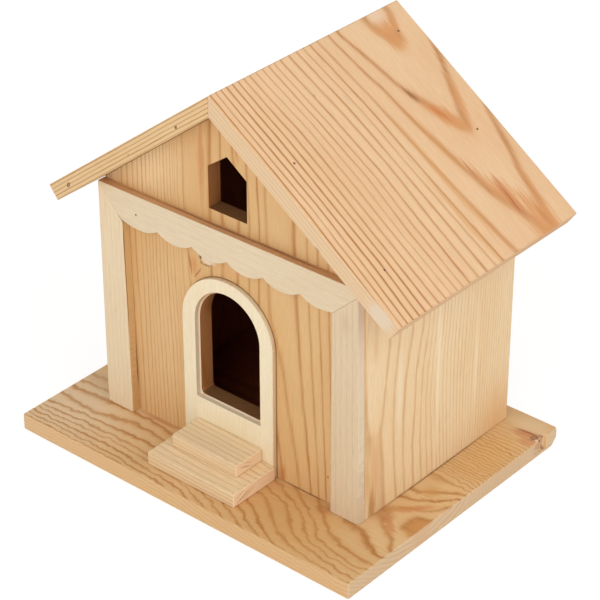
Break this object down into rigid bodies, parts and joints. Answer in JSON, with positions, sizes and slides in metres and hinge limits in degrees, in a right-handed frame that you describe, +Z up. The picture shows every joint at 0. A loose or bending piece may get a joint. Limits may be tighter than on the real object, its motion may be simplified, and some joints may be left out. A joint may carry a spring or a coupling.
{
  "type": "parrot nest box",
  "caption": "Small pine nest house with an arched doorway, attic window, scalloped fascia, corner posts, gable roof and steps on a wide base board.",
  "frame": {"origin": "middle of the base board's underside, on the surface that the box stands on", "axes": "+Z up, -Y out of the doorway, +X to the right of someone who faces the doorway"},
  "size_m": [0.2638, 0.201, 0.2574],
  "materials": {
    "base_pine": "plain sanded pine, tan, wavy brown grain",
    "wall_pine": "plain sanded pine, tan, upright grain",
    "roof_pine": "plain sanded pine, peach with orange grain",
    "pale_trim": "plain sanded softwood, creamy and nearly plain",
    "surround_ply": "plain sanded thin board, creamy yellow",
    "step_pine": "plain sanded pine, pale, fine grain"
  },
  "bodies": {
    "root": {"base_board": "base_pine", "front_wall": "wall_pine", "back_wall": "wall_pine", "left_wall": "wall_pine", "right_wall": "wall_pine", "left_roof_panel": "roof_pine", "right_roof_panel": "roof_pine", "left_corner_post": "pale_trim", "right_corner_post": "pale_trim", "scalloped_fascia": "pale_trim", "door_surround": "surround_ply", "lower_step": "step_pine", "upper_step": "step_pine"}
  },
  "joints": []
}
